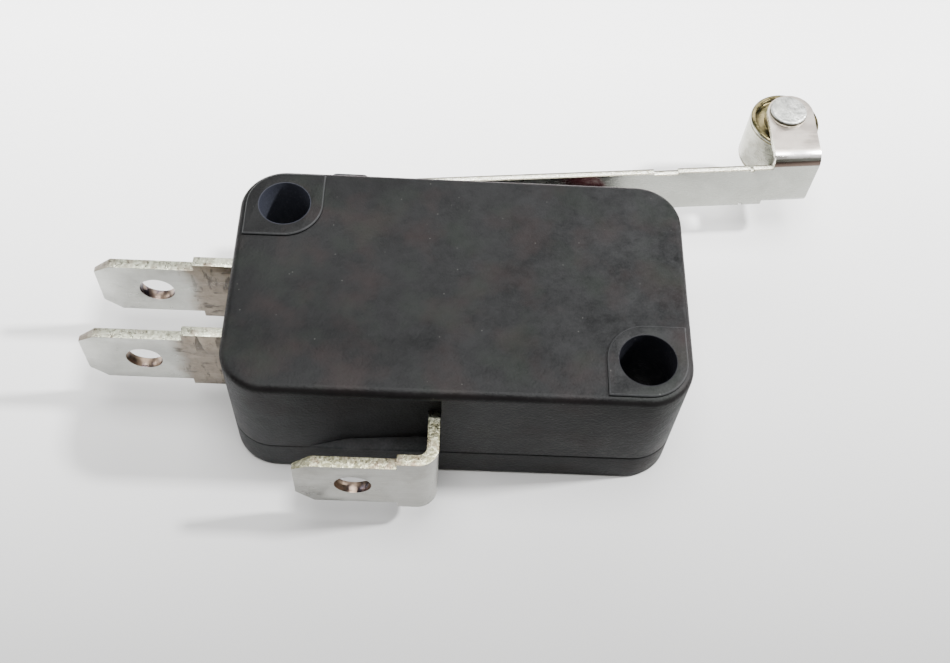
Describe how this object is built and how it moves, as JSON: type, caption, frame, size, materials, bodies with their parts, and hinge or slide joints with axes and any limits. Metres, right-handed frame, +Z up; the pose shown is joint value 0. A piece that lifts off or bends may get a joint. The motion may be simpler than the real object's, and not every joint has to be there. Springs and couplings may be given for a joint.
{
  "type": "lever micro switch",
  "caption": "Snap-action switch with a hinged roller lever that presses a plunger, flat tab terminals, and mounting holes through its flat body.",
  "frame": {"origin": "on the axis of the corner mounting hole nearest the lever's hinge, on the plane of the face that the switch lies on", "axes": "+X along the body towards the roller, +Y out through the plunger towards the lever, +Z up out of the large face, along the mounting holes"},
  "size_m": [0.048, 0.0302, 0.0103],
  "materials": {
    "case": "matt black moulded plastic",
    "cover": "matt black moulded plastic",
    "terminal": "satin silver plating",
    "contact": "silver contact alloy",
    "blade": "copper spring alloy",
    "spring": "bright spring wire",
    "pin": "bright steel",
    "plunger": "dark red moulded plastic",
    "lever": "satin stainless sheet",
    "rivet": "dull steel",
    "roller": "turned steel"
  },
  "bodies": {
    "housing": {"case": "case", "cover": "cover", "normally_open_terminal": "terminal", "normally_closed_terminal": "terminal", "common_terminal": "terminal", "normally_open_contact": "contact", "normally_closed_contact": "contact", "hinge_pin": "pin", "return_spring": "spring"},
    "lever": {"lever": "lever", "roller_rivet": "rivet"},
    "roller": {"roller": "roller"},
    "plunger": {"plunger": "plunger"},
    "blade": {"moving_blade": "blade", "moving_contact": "contact"}
  },
  "joints": [
    {"name": "lever_hinge", "type": "hinge", "parent": "housing", "child": "lever", "pos_m": [0.0037, 0.0033, 0.00515], "axis": [0, 0, -1], "range_deg": [0, 5.4], "stiffness_Nm_per_rad": 0.15, "springref_deg": -11.46, "deforming": ["return_spring"]},
    {"name": "roller_spin", "type": "hinge", "parent": "lever", "child": "roller", "pos_m": [0.03359, 0.01117, 0.00575], "axis": [0, 0, 1], "continuous": true},
    {"name": "plunger_slide", "type": "slide", "parent": "housing", "child": "plunger", "axis": [0, -1, 0], "range_m": [0, 0.0016]},
    {"name": "blade_rock", "type": "hinge", "parent": "housing", "child": "blade", "pos_m": [0.00985, -0.00583, 0.00515], "axis": [0, 0, -1], "range_deg": [0, 8.7]}
  ],
  "couplings": [
    {"joint": "plunger_slide", "follows": "lever_hinge", "m_per_rad": 0.01661},
    {"joint": "blade_rock", "follows": "lever_hinge", "ratio": 1.606}
  ]
}
